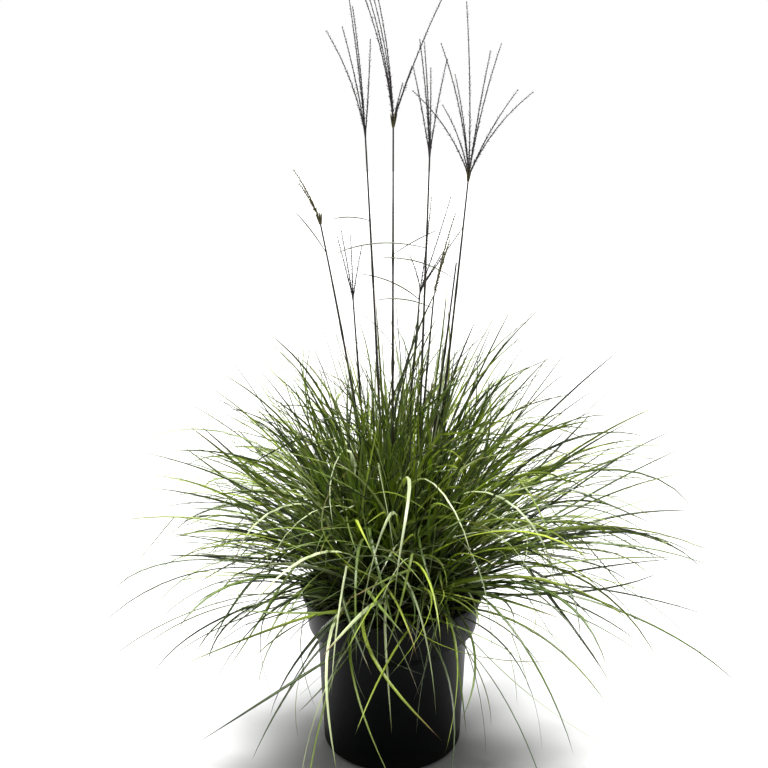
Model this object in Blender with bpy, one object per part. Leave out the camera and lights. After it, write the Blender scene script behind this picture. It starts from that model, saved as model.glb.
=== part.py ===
"""A potted ornamental grass clump, in metres with +Z up.

A black nursery pot holds its growing medium, and a tillered crown sits on top of that.  Leaf tufts
fan out of the crown in four rings, and tall culms stand in the open middle with fan-shaped flower
panicles on their heads and a few single leaves along them.

The origin is the centre of the pot's underside, so the clump stands on the plane z = 0.
"""

import math

import bmesh
import bpy
from mathutils import Matrix, Vector

# ---------------------------------------------------------------- driving dimensions
CLEARANCE = 0.0003  # between pieces that touch

RIM_RADIUS = 0.150
POT_HEIGHT = 0.275
WALL = 0.0026
LIP_WIDTH = 0.0045  # how far the rolled rim stands proud of the collar
LIP_DEPTH = 0.009
COLLAR_DEPTH = 0.060  # from the rim down to the collar's foot
COLLAR_FOOT_RADIUS = 0.1405
SHOULDER_DEPTH = 0.017  # the slope that draws the collar in to the body
BODY_TOP_RADIUS = 0.1250
BASE_RADIUS = 0.1165
BASE_CHAMFER = 0.006
BASE_THICKNESS = 0.0035
POT_ROUND_OVER = 0.0015
POT_SEGMENTS = 48

DRAIN_HOLES = 8
DRAIN_HOLE_RADIUS = 0.0070
DRAIN_CIRCLE_RADIUS = 0.088
DRAIN_HOLE_SIDES = 12

MEDIUM_LEVEL = 0.246
MEDIUM_CRUMB = 0.0012  # height of the lumps near the pot's wall

CROWN_RADIUS = 0.134
CROWN_HEIGHT = 0.036
CROWN_SEGMENTS = 24
CROWN_SWELLS = [(5, 0.0, 0.012), (8, 0.7, 0.008)]  # waves round its side: count, phase, share
CROWN_TOP = MEDIUM_LEVEL + CLEARANCE + CROWN_HEIGHT

CULM_FOOT_RADIUS = 0.0026
CULM_HEAD_RADIUS = 0.0013
CULM_SIDES = 6
CULM_STEPS = 8

RACEME_RADIUS = 0.0016
RACEME_TIP_RADIUS = 0.0007
RACEME_STEPS = 4
RACEME_SIDES = 4
HUB_RADIUS = 0.0030
HUB_SWELL_HEIGHT = 0.006  # where the foot of a panicle is thickest
HUB_HEIGHT = 0.016
HUB_TIP_SHARE = 0.4  # radius of its top beside its thickest
RACEME_ROOT_HEIGHT = 0.004
PANICLE_GAP = CLEARANCE + 0.0004  # wider, because the culm's head and the panicle's foot are tilted

FLAG_WIDTH = 0.0042
FLAG_THICKNESS = 0.0010
FLAG_STEPS = 10
FLAG_END_SHARE = 0.45  # width of a flag leaf's ends beside its middle
FLAG_WIDE_SHIFT = 0.15  # how much nearer to the culm than its middle it is widest
FLAG_GAP = 0.0006  # between a flag leaf's foot and its culm's widest

# ---------------------------------------------------------------- the planting plan
# Each culm: foot x, y on the crown; lean to the right and to the back in degrees; height of its
# head; and how late it bends over (1 is straight).
CULMS = [
    (-0.025, -0.010, -8.0, -3.0, 0.88, 1.35),
    (-0.030, 0.010, -4.0, 2.0, 0.75, 1.0),
    (-0.010, -0.020, -2.5, 0.0, 1.00, 1.2),
    (0.000, 0.010, 0.0, 1.0, 1.02, 1.0),
    (0.035, -0.020, 1.5, -1.0, 0.97, 1.0),
    (0.010, 0.030, 4.0, 2.0, 0.76, 1.15),
    (0.025, 0.000, 4.5, -1.0, 0.76, 1.0),
    (0.045, 0.005, 6.0, 0.5, 0.94, 0.85),
    (0.035, 0.025, 7.0, 1.0, 0.81, 0.9),
]

# Each panicle: the number of the culm that bears it, then its racemes as lean to the right and lean
# to the back, both in degrees from upright, length, and how far in degrees the tip arches over.
PANICLES = [
    (1, [(-20, -4, 0.08, 14), (-24, 6, 0.06, 12)]),
    (2, [(-13, 4, 0.10, 2), (-8, -6, 0.11, 2), (-1, 5, 0.10, 2), (8, -3, 0.085, 4)]),
    (3, [(-10, 4, 0.16, 22), (-8, -8, 0.155, 8), (-5, 10, 0.21, 4), (-3, -3, 0.18, 5),
         (5, -5, 0.135, -3)]),
    (4, [(-6, 5, 0.225, 18), (-5, -5, 0.22, 16), (-3, 12, 0.21, 14), (-2, -11, 0.195, 12),
         (18, 4, 0.23, 10), (17, -8, 0.085, 4), (12, 9, 0.06, 4)]),
    (5, [(-9, 6, 0.13, 4), (-3, -9, 0.165, 6), (-1, 9, 0.165, 4), (1, -3, 0.125, -2),
         (7, 3, 0.14, 6)]),
    (6, [(-8, 5, 0.06, 18), (8, -6, 0.15, -4), (20, 6, 0.155, -4), (28, -4, 0.08, 4),
         (32, 3, 0.12, 4)]),
    (7, [(10, 0, 0.13, 8), (12, 7, 0.09, 8), (11, -7, 0.08, 8)]),
    (8, [(-20, -8, 0.155, 30), (-10, 9, 0.115, 22), (-6, -13, 0.20, 16), (-3, 11, 0.155, 10),
         (1, -2, 0.25, -6), (6, -12, 0.185, 4), (9, 10, 0.205, 10), (21, -5, 0.145, 16),
         (23, 7, 0.16, 30)]),
]

# Each flag leaf: the number of its culm, the height it leaves that at, its heading in degrees (0 is
# to the right, 90 to the back), its angle from upright at the culm and at the tip, how late it
# bends, and its length.
FLAG_LEAVES = [
    (9, 0.785, 200, 55, 95, 1.0, 0.145),
    (5, 0.84, 195, 75, 115, 1.2, 0.15),
    (7, 0.745, 205, 62, 98, 1.0, 0.105),
    (4, 0.825, 5, 55, 70, 1.0, 0.085),
    (2, 0.74, -30, 120, 178, 2.5, 0.12),
    (3, 0.88, 195, 70, 105, 1.0, 0.06),
    (1, 0.835, 195, 30, 45, 1.0, 0.08),
    (6, 0.75, 170, 50, 88, 1.0, 0.11),
]

# Each ring of tufts: name, count, turn of its first tuft in degrees, then for the lower and the
# upper side the radius it starts at and its angle from upright there and at the tip, and how early
# the bend comes (below 1 bends early), and last the length.
RINGS = [
    ("inner", 6, 10.0, (0.070, 17, 46), (0.054, 9, 24), 1.2, 0.430),
    ("middle", 8, 0.0, (0.093, 36, 86), (0.073, 20, 60), 1.1, 0.485),
    ("outer", 9, 20.0, (0.113, 58, 138), (0.096, 41, 116), 1.0, 0.440),
    ("skirt", 7, 8.0, (0.126, 50, 184), (0.117, 48, 162), 0.50, 0.330),
]
SECTOR_FILL = 0.94  # share of its sector that a tuft takes up
TUFT_STEPS = 7
TUFT_TIP = 0.12  # width and thickness of a tuft's tip beside what its rings leave room for
TAPER_START = 0.40  # share of its length where a tuft starts to narrow
TUFT_FLAT = 0.7  # share of a tuft's width over which its upper and lower sides run level

# The side each ring leans out furthest to: how much longer its tufts are there, and the turn of
# that side in degrees.
LONG_SIDES = {
    "inner": (0.02, 180.0),
    "middle": (0.04, 0.0),
    "outer": (0.12, 0.0),
    "skirt": (0.08, -70.0),
}


# ---------------------------------------------------------------- shared shapes
def make_material(name, colour, roughness):
    material = bpy.data.materials.new(name)
    material.use_nodes = True
    shader = material.node_tree.nodes["Principled BSDF"]
    shader.inputs["Base Color"].default_value = (*colour, 1.0)
    shader.inputs["Roughness"].default_value = roughness
    shader.inputs["Metallic"].default_value = 0.0
    return material


def add_object(name, bm, material, smooth_angle=None):
    """Turn a bmesh into a named object, with its faces pointing out."""
    bmesh.ops.recalc_face_normals(bm, faces=bm.faces[:])
    mesh = bpy.data.meshes.new(name)
    bm.to_mesh(mesh)
    bm.free()
    mesh.materials.append(material)
    if smooth_angle is not None:
        mesh.shade_smooth()
        mesh.set_sharp_from_angle(angle=math.radians(smooth_angle))
    piece = bpy.data.objects.new(name, mesh)
    bpy.context.scene.collection.objects.link(piece)
    return piece


def turned(profile, segments):
    """A turned solid: the profile runs from the axis, round the outside, and back to the axis."""
    bm = bmesh.new()
    verts = [bm.verts.new((radius, 0.0, height)) for radius, height in profile]
    edges = [bm.edges.new(pair) for pair in zip(verts, verts[1:])]
    bmesh.ops.spin(
        bm,
        geom=verts + edges,
        cent=(0.0, 0.0, 0.0),
        axis=(0.0, 0.0, 1.0),
        angle=2.0 * math.pi,
        steps=segments,
        use_merge=True,
    )
    bmesh.ops.remove_doubles(bm, verts=bm.verts[:], dist=1e-5)
    return bm


def skin_sections(bm, sections):
    """Close a row of equal rings of points into one solid, and return its faces."""
    rings = [[bm.verts.new(point) for point in section] for section in sections]
    faces = []
    for ring, following in zip(rings, rings[1:]):
        for i in range(len(ring)):
            j = (i + 1) % len(ring)
            faces.append(bm.faces.new((ring[i], ring[j], following[j], following[i])))
    faces.append(bm.faces.new(list(reversed(rings[0]))))
    faces.append(bm.faces.new(rings[-1]))
    return faces


def rod_sections(points, radii, sides):
    """Round sections square to a path, turned as little as possible along it."""
    sections = []
    across = Vector((1.0, 0.0, 0.0))
    for i, point in enumerate(points):
        ahead = points[min(i + 1, len(points) - 1)]
        behind = points[max(i - 1, 0)]
        along = (ahead - behind).normalized()
        across = (across - along * across.dot(along)).normalized()
        beside = along.cross(across)
        ring = []
        for k in range(sides):
            turn = 2.0 * math.pi * k / sides
            ring.append(point + radii[i] * (math.cos(turn) * across + math.sin(turn) * beside))
        sections.append(ring)
    return sections


# ---------------------------------------------------------------- pot
def inner_radius_at(height):
    """Radius of the inside of the pot's wall at a height."""
    foot = POT_HEIGHT - COLLAR_DEPTH
    shoulder = foot - SHOULDER_DEPTH
    if height >= foot:
        share = (height - foot) / COLLAR_DEPTH
        outside = COLLAR_FOOT_RADIUS + share * (RIM_RADIUS - LIP_WIDTH - COLLAR_FOOT_RADIUS)
    elif height >= shoulder:
        share = (height - shoulder) / SHOULDER_DEPTH
        outside = BODY_TOP_RADIUS + share * (COLLAR_FOOT_RADIUS - BODY_TOP_RADIUS)
    else:
        outside = BASE_RADIUS + height / shoulder * (BODY_TOP_RADIUS - BASE_RADIUS)
    return outside - WALL


def pot_profile():
    foot = POT_HEIGHT - COLLAR_DEPTH
    shoulder = foot - SHOULDER_DEPTH
    under_lip = POT_HEIGHT - LIP_DEPTH
    collar_top = RIM_RADIUS - LIP_WIDTH
    outside = [
        (0.0, 0.0),
        (BASE_RADIUS - BASE_CHAMFER, 0.0),
        (BASE_RADIUS, BASE_CHAMFER),
        (BODY_TOP_RADIUS, shoulder),
        (COLLAR_FOOT_RADIUS - POT_ROUND_OVER, foot - POT_ROUND_OVER),
        (COLLAR_FOOT_RADIUS, foot + POT_ROUND_OVER),
        (collar_top, under_lip),
        (RIM_RADIUS - POT_ROUND_OVER, under_lip),
        (RIM_RADIUS, under_lip + POT_ROUND_OVER),
        (RIM_RADIUS, POT_HEIGHT - POT_ROUND_OVER),
        (RIM_RADIUS - POT_ROUND_OVER, POT_HEIGHT),
    ]
    inside = [
        (collar_top - WALL + POT_ROUND_OVER, POT_HEIGHT),
        (inner_radius_at(POT_HEIGHT - 2 * POT_ROUND_OVER), POT_HEIGHT - 2 * POT_ROUND_OVER),
        (inner_radius_at(foot), foot + WALL),
        (inner_radius_at(shoulder), shoulder),
        (inner_radius_at(BASE_CHAMFER), BASE_THICKNESS),
        (0.0, BASE_THICKNESS),
    ]
    return outside + inside


def drain_peg(index):
    """A peg through the base, which leaves one drainage hole."""
    turn = 2.0 * math.pi * (index + 0.5) / DRAIN_HOLES
    place = Matrix.Translation(
        (DRAIN_CIRCLE_RADIUS * math.cos(turn), DRAIN_CIRCLE_RADIUS * math.sin(turn), 0.0)
    )
    bm = bmesh.new()
    bmesh.ops.create_cone(
        bm,
        cap_ends=True,
        segments=DRAIN_HOLE_SIDES,
        radius1=DRAIN_HOLE_RADIUS,
        radius2=DRAIN_HOLE_RADIUS,
        depth=6 * BASE_THICKNESS,
        matrix=place,
    )
    return bm


def make_pot(material):
    pot = add_object("pot", turned(pot_profile(), POT_SEGMENTS), material, smooth_angle=35)
    pegs = bmesh.new()
    for index in range(DRAIN_HOLES):
        peg = drain_peg(index)
        mesh = bpy.data.meshes.new("drain_peg")
        peg.to_mesh(mesh)
        peg.free()
        pegs.from_mesh(mesh)
        bpy.data.meshes.remove(mesh)
    cutter = add_object("drain_cutter", pegs, material)
    cutter.hide_render = True
    cutter.display_type = "WIRE"
    cut = pot.modifiers.new("drain holes", "BOOLEAN")
    cut.operation = "DIFFERENCE"
    cut.object = cutter


# ---------------------------------------------------------------- growing medium and crown
def make_growing_medium(material):
    floor = BASE_THICKNESS + CLEARANCE
    shoulder = POT_HEIGHT - COLLAR_DEPTH - SHOULDER_DEPTH
    foot = POT_HEIGHT - COLLAR_DEPTH
    slack = 2.5 * CLEARANCE
    foot_slack = slack + 0.0006
    profile = [
        (0.0, floor),
        (inner_radius_at(BASE_CHAMFER) - slack, floor),
        (inner_radius_at(shoulder) - slack, shoulder),
        (inner_radius_at(foot) - foot_slack, foot + WALL),
        (inner_radius_at(MEDIUM_LEVEL) - slack, MEDIUM_LEVEL - 2 * MEDIUM_CRUMB),
        (CROWN_RADIUS + 0.003, MEDIUM_LEVEL - MEDIUM_CRUMB),
        (CROWN_RADIUS + 0.001, MEDIUM_LEVEL),
        (0.0, MEDIUM_LEVEL),
    ]
    bm = turned(profile, POT_SEGMENTS)
    for vert in bm.verts:
        reach = math.hypot(vert.co.x, vert.co.y)
        if vert.co.z > MEDIUM_LEVEL - 3 * MEDIUM_CRUMB and reach > CROWN_RADIUS + 0.002:
            turn = math.atan2(vert.co.y, vert.co.x)
            vert.co.z += 0.5 * MEDIUM_CRUMB * (math.sin(7 * turn) + math.sin(11 * turn + 1.0))
    add_object("growing_medium", bm, material, smooth_angle=40)


def make_crown(material):
    under = MEDIUM_LEVEL + CLEARANCE
    profile = [
        (0.0, under),
        (CROWN_RADIUS, under),
        (CROWN_RADIUS + 0.0015, under + 0.30 * CROWN_HEIGHT),
        (CROWN_RADIUS - 0.0010, under + 0.75 * CROWN_HEIGHT),
        (CROWN_RADIUS - 0.0040, CROWN_TOP),
        (0.0, CROWN_TOP),
    ]
    bm = turned(profile, CROWN_SEGMENTS)
    for vert in bm.verts:
        if under < vert.co.z < CROWN_TOP:
            turn = math.atan2(vert.co.y, vert.co.x)
            swell = 1.0
            for waves, phase, share in CROWN_SWELLS:
                swell += share * math.sin(waves * turn + phase)
            vert.co.x *= swell
            vert.co.y *= swell
    add_object("crown", bm, material, smooth_angle=40)


# ---------------------------------------------------------------- culms, panicles, flag leaves
def culm_point(culm, share):
    """The point at this share of the culm's height."""
    foot_x, foot_y, right, back, head, lateness = culm
    foot = CROWN_TOP + CLEARANCE
    reach = (head - foot) * share**lateness
    return Vector(
        (
            foot_x + reach * math.tan(math.radians(right)),
            foot_y + reach * math.tan(math.radians(back)),
            foot + (head - foot) * share,
        )
    )


def make_culms(material):
    for number, culm in enumerate(CULMS, start=1):
        shares = [i / CULM_STEPS for i in range(CULM_STEPS + 1)]
        points = [culm_point(culm, share) for share in shares]
        radii = [
            CULM_FOOT_RADIUS + share * (CULM_HEAD_RADIUS - CULM_FOOT_RADIUS) for share in shares
        ]
        bm = bmesh.new()
        sections = rod_sections(points, radii, CULM_SIDES)
        foot = CROWN_TOP + CLEARANCE
        sections[0] = [Vector((p.x, p.y, foot)) for p in sections[0]]
        skin_sections(bm, sections)
        add_object(f"culm_{number:02d}", bm, material, smooth_angle=60)


def raceme_points(start, raceme):
    """A raceme's path: it leaves the panicle's foot at its lean, and arches on towards its tip."""
    right, back, length, arch = raceme
    lean = Vector((math.tan(math.radians(right)), math.tan(math.radians(back)), 1.0)).normalized()
    sideways = 1.0 if right >= 0 else -1.0
    points = [start]
    step = length / RACEME_STEPS
    for i in range(RACEME_STEPS):
        share = (i + 0.5) / RACEME_STEPS
        turn = Matrix.Rotation(math.radians(sideways * arch * share), 3, "Y")
        points.append(points[-1] + step * (turn @ lean))
    return points


def make_panicles(material):
    for number, (bearer, racemes) in enumerate(PANICLES, start=1):
        culm = CULMS[bearer - 1]
        head = culm_point(culm, 1.0)
        along = (head - culm_point(culm, 0.95)).normalized()
        start = head + along * PANICLE_GAP
        name = f"panicle_{number:02d}"
        hub = bmesh.new()
        hub_points = [start, start + along * HUB_SWELL_HEIGHT, start + along * HUB_HEIGHT]
        hub_radii = [CULM_HEAD_RADIUS, HUB_RADIUS, HUB_TIP_SHARE * HUB_RADIUS]
        skin_sections(hub, rod_sections(hub_points, hub_radii, CULM_SIDES))
        panicle = add_object(name, hub, material, smooth_angle=60)
        bunch = bmesh.new()
        for raceme in racemes:
            points = raceme_points(start + along * RACEME_ROOT_HEIGHT, raceme)
            radii = [
                RACEME_RADIUS + i / RACEME_STEPS * (RACEME_TIP_RADIUS - RACEME_RADIUS)
                for i in range(RACEME_STEPS + 1)
            ]
            skin_sections(bunch, rod_sections(points, radii, RACEME_SIDES))
        cutter = add_object(f"{name}_racemes", bunch, material)
        cutter.hide_render = True
        cutter.display_type = "WIRE"
        join = panicle.modifiers.new("racemes", "BOOLEAN")
        join.operation = "UNION"
        join.use_self = True
        join.object = cutter


def flag_leaf_path(number, height, heading, start_lean, tip_lean, lateness, length):
    """A flag leaf's path: it leaves its culm's side at its lean, and arches over to its tip."""
    culm = CULMS[number - 1]
    foot = CROWN_TOP + CLEARANCE
    turn = math.radians(heading)
    outwards = Vector((math.cos(turn), math.sin(turn), 0.0))
    start = culm_point(culm, (height - foot) / (culm[4] - foot))
    path = [start + (CULM_FOOT_RADIUS + FLAG_GAP) * outwards]
    for i in range(FLAG_STEPS):
        share = ((i + 0.5) / FLAG_STEPS) ** lateness
        lean = math.radians(start_lean + (tip_lean - start_lean) * share)
        step = length / FLAG_STEPS
        path.append(path[-1] + step * (math.sin(lean) * outwards + Vector((0, 0, math.cos(lean)))))
    return path


def make_flag_leaves(material):
    for number, flag_leaf in enumerate(FLAG_LEAVES, start=1):
        path = flag_leaf_path(*flag_leaf)
        turn = math.radians(flag_leaf[2])
        across = Vector((-math.sin(turn), math.cos(turn), 0.0))
        sections = []
        for i, point in enumerate(path):
            share = i / FLAG_STEPS
            along = (path[min(i + 1, FLAG_STEPS)] - path[max(i - 1, 0)]).normalized()
            up = across.cross(along)
            swell = math.sin(math.pi * min(1.0, share + FLAG_WIDE_SHIFT))
            half = 0.5 * FLAG_WIDTH * (FLAG_END_SHARE + (1.0 - FLAG_END_SHARE) * swell)
            thick = 0.5 * FLAG_THICKNESS
            sections.append(
                [point - half * across, point - thick * up, point + half * across, point + thick * up]
            )
        bm = bmesh.new()
        skin_sections(bm, sections)
        add_object(f"flag_leaf_{number:02d}", bm, material, smooth_angle=60)


# ---------------------------------------------------------------- leaf tufts
def arch_line(start_radius, start_lean, tip_lean, bend, length):
    """Radius and height along an arching line whose lean from upright grows towards its tip."""
    line = [(start_radius, CROWN_TOP + CLEARANCE)]
    for i in range(TUFT_STEPS):
        share = ((i + 0.5) / TUFT_STEPS) ** bend
        lean = math.radians(start_lean + (tip_lean - start_lean) * share)
        radius, height = line[-1]
        step = length / TUFT_STEPS
        line.append((radius + step * math.sin(lean), height + step * math.cos(lean)))
    return line


def polar(radius, turn, height):
    return Vector((radius * math.cos(turn), radius * math.sin(turn), height))


def make_leaf_tufts(material):
    number = 0
    for name, count, first_turn, lower, upper, bend, length in RINGS:
        extra, facing = LONG_SIDES[name]
        for index in range(count):
            number += 1
            turn = math.radians(first_turn + 360.0 * index / count)
            reach = length * (1.0 + extra * math.cos(turn - math.radians(facing)))
            low = arch_line(*lower, bend, reach)
            high = arch_line(*upper, bend, reach)
            sections = []
            for i in range(TUFT_STEPS + 1):
                share = i / TUFT_STEPS
                past_shoulder = max(0.0, share - TAPER_START) / (1.0 - TAPER_START)
                taper = 1.0 - (1.0 - TUFT_TIP) * past_shoulder
                half = math.pi / count * SECTOR_FILL * taper
                mid_r, mid_z = 0.5 * (low[i][0] + high[i][0]), 0.5 * (low[i][1] + high[i][1])
                low_r, low_z = mid_r + taper * (low[i][0] - mid_r), mid_z + taper * (low[i][1] - mid_z)
                high_r, high_z = 2 * mid_r - low_r, 2 * mid_z - low_z
                outline = [(-1.0, mid_r, mid_z)]
                outline += [(across, low_r, low_z) for across in (-TUFT_FLAT, 0.0, TUFT_FLAT)]
                outline += [(1.0, mid_r, mid_z)]
                outline += [(across, high_r, high_z) for across in (TUFT_FLAT, 0.0, -TUFT_FLAT)]
                sections.append([polar(r, turn + across * half, z) for across, r, z in outline])
            bm = bmesh.new()
            skin_sections(bm, sections)
            add_object(f"leaf_tuft_{name}_{index + 1}", bm, material, smooth_angle=30)


def main():
    for existing in list(bpy.data.objects):
        bpy.data.objects.remove(existing, do_unlink=True)
    make_pot(make_material("pot plastic", (0.018, 0.019, 0.018), 0.48))
    make_growing_medium(make_material("growing medium", (0.030, 0.021, 0.014), 0.95))
    make_crown(make_material("crown", (0.10, 0.12, 0.04), 0.8))
    make_culms(make_material("culm", (0.09, 0.10, 0.035), 0.5))
    make_panicles(make_material("panicle", (0.07, 0.06, 0.06), 0.7))
    make_flag_leaves(make_material("flag leaf", (0.10, 0.14, 0.04), 0.5))
    make_leaf_tufts(make_material("leaf tuft", (0.09, 0.16, 0.03), 0.5))


main()
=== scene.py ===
"""Looks for a potted ornamental grass clump: leaf blades, culms, flower panicles, crown and pot.

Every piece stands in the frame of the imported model, in metres with +Z up.  The leaf tufts of that
model become bundles of single blades, its culms get joints and sheaths, and its panicles get
spikelets.
"""

import math
import random

import bmesh
import bpy
from mathutils import Matrix, Vector


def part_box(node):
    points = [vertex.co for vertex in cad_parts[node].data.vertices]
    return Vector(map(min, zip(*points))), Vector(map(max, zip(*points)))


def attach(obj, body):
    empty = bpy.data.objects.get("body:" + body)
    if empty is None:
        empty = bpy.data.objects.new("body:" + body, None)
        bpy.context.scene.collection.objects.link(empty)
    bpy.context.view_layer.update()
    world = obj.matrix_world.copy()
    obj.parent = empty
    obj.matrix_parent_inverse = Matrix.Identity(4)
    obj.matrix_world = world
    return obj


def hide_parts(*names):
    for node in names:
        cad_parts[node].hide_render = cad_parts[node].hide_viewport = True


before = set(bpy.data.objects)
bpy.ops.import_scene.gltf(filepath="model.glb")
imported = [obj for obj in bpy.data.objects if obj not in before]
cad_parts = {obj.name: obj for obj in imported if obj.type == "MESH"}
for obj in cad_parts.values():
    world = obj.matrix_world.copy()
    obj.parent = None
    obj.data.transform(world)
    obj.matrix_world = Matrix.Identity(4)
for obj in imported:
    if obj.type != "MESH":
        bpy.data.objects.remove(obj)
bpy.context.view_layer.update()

# ---------------------------------------------------------------- driving dimensions
POT_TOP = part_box("pot")[1].z
RIM_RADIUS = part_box("pot")[1].x
CROWN_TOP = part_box("crown")[1].z
CROWN_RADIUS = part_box("crown")[1].x

WALL = 0.0026
LIP_WIDTH = 0.0045
LIP_DEPTH = 0.009
COLLAR_DEPTH = 0.060
COLLAR_FOOT_RADIUS = 0.1405
SHOULDER_DEPTH = 0.017
BODY_TOP_RADIUS = 0.1250
BASE_RADIUS = 0.1165
BASE_THICKNESS = 0.0035
DRAIN_HOLES = 8
DRAIN_HOLE_RADIUS = 0.0070
DRAIN_CIRCLE_RADIUS = 0.088
POT_SEGMENTS = 128
EDGE_ROUNDING = 0.0011  # the bevel on the pot's moulded edges
EDGE_SEGMENTS = 3
DRAIN_SEGMENTS = 24

BLADE_STEPS = 16
BLADE_THICKNESS = 0.00045
BLADE_FOLD = 0.35  # how far the margins stand up beside the midrib, as a share of the half width
ROOT_DEPTH = 0.012  # how far below the top of the crown the blades start
RIM_CLEARANCE = 0.004  # how far a blade stays off the pot's rim
FLOOR_CLEARANCE = 0.006
STEEPEST_LEAN = 178.0  # no blade turns further over than this, in degrees from upright
KINK_LEAN = 140.0  # a kinked blade hangs no steeper than this

TINT_COLUMNS = 16  # blades of one kind differ in their column
TINT_ROWS = 4  # rows: green, yellow-green with painted light, pale with painted sheen, dark with painted shade
GREEN, YELLOW_PAINTED_LIT, PALE_PAINTED_SHEEN, DARK_PAINTED_SHADE = range(TINT_ROWS)
CELL_MARGIN = 0.04  # kept free round each cell, so that neighbours don't bleed in

TILLERS = 420
TILLER_RADII = (0.0032, 0.0056)

CULM_FOOT_RADIUS = 0.0024
CULM_HEAD_RADIUS = 0.0012
CULM_STEPS = 48
CULM_JOINTS = 4
FLAG_WIDTH = 0.0030

FLOOR_SIZE = 60.0
SUN_STRENGTH = 11.0
SUN_ANGLE = 18.0
SUN_FROM = (0.0, 0.20, 1.0)
DOME_LOW = 0.03
DOME_HIGH = 0.54
DOME_FROM_BACK = 0.35
CAMERA_PLACE = (-0.014, -1.54, 1.00)
CAMERA_DIP = 13.8  # degrees below level
CAMERA_LENS = 46.9
SENSOR_WIDTH = 36.0

# ---------------------------------------------------------------- the planting plan
# Each ring of leaf blades: its tufts, the turn of the first in degrees, the blades in a tuft; for its
# low and its high side the radius where blades root and their angle from upright there and at the
# tip; how late they bend (below 1 is early); length, how much longer it is on one side and where
# that side is; widest width; how far blades stray in heading, lean and drift, in degrees; and the
# chances of a green blade, a yellow-green one with painted light, a pale one with painted sheen and a
# dark one with painted shade.
RINGS = [
    dict(name="inner", tufts=6, first_turn=10, blades=52, low=(0.090, 14, 52), high=(0.020, 0, 20),
         bend=1.6, length=0.46, extra=0.04, long_side=0, width=0.0041, stray=(90, 11, 40),
         kinds=(0.40, 0.30, 0.10, 0.20)),
    dict(name="middle", tufts=8, first_turn=0, blades=76, low=(0.100, 32, 100), high=(0.050, 13, 62),
         bend=1.5, length=0.48, extra=0.05, long_side=0, width=0.0045, stray=(80, 15, 46),
         kinds=(0.38, 0.26, 0.10, 0.26)),
    dict(name="outer", tufts=9, first_turn=20, blades=38, low=(0.112, 58, 116), high=(0.080, 40, 100),
         bend=1.25, length=0.435, extra=0.16, long_side=0, width=0.0044, stray=(48, 13, 40),
         kinds=(0.36, 0.17, 0.08, 0.39)),
    dict(name="skirt", tufts=7, first_turn=8, blades=8, low=(0.122, 78, 146), high=(0.105, 60, 118),
         bend=0.9, length=0.38, extra=0.08, long_side=-70, width=0.0034, stray=(30, 10, 30),
         kinds=(0.42, 0.06, 0.14, 0.38)),
]
KINK_CHANCE = 0.09
LEFT_LIMIT = 0.450  # no blade reaches further than these from the middle
RIGHT_LIMIT = 0.525
DEPTH_LIMIT = 0.505

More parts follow.
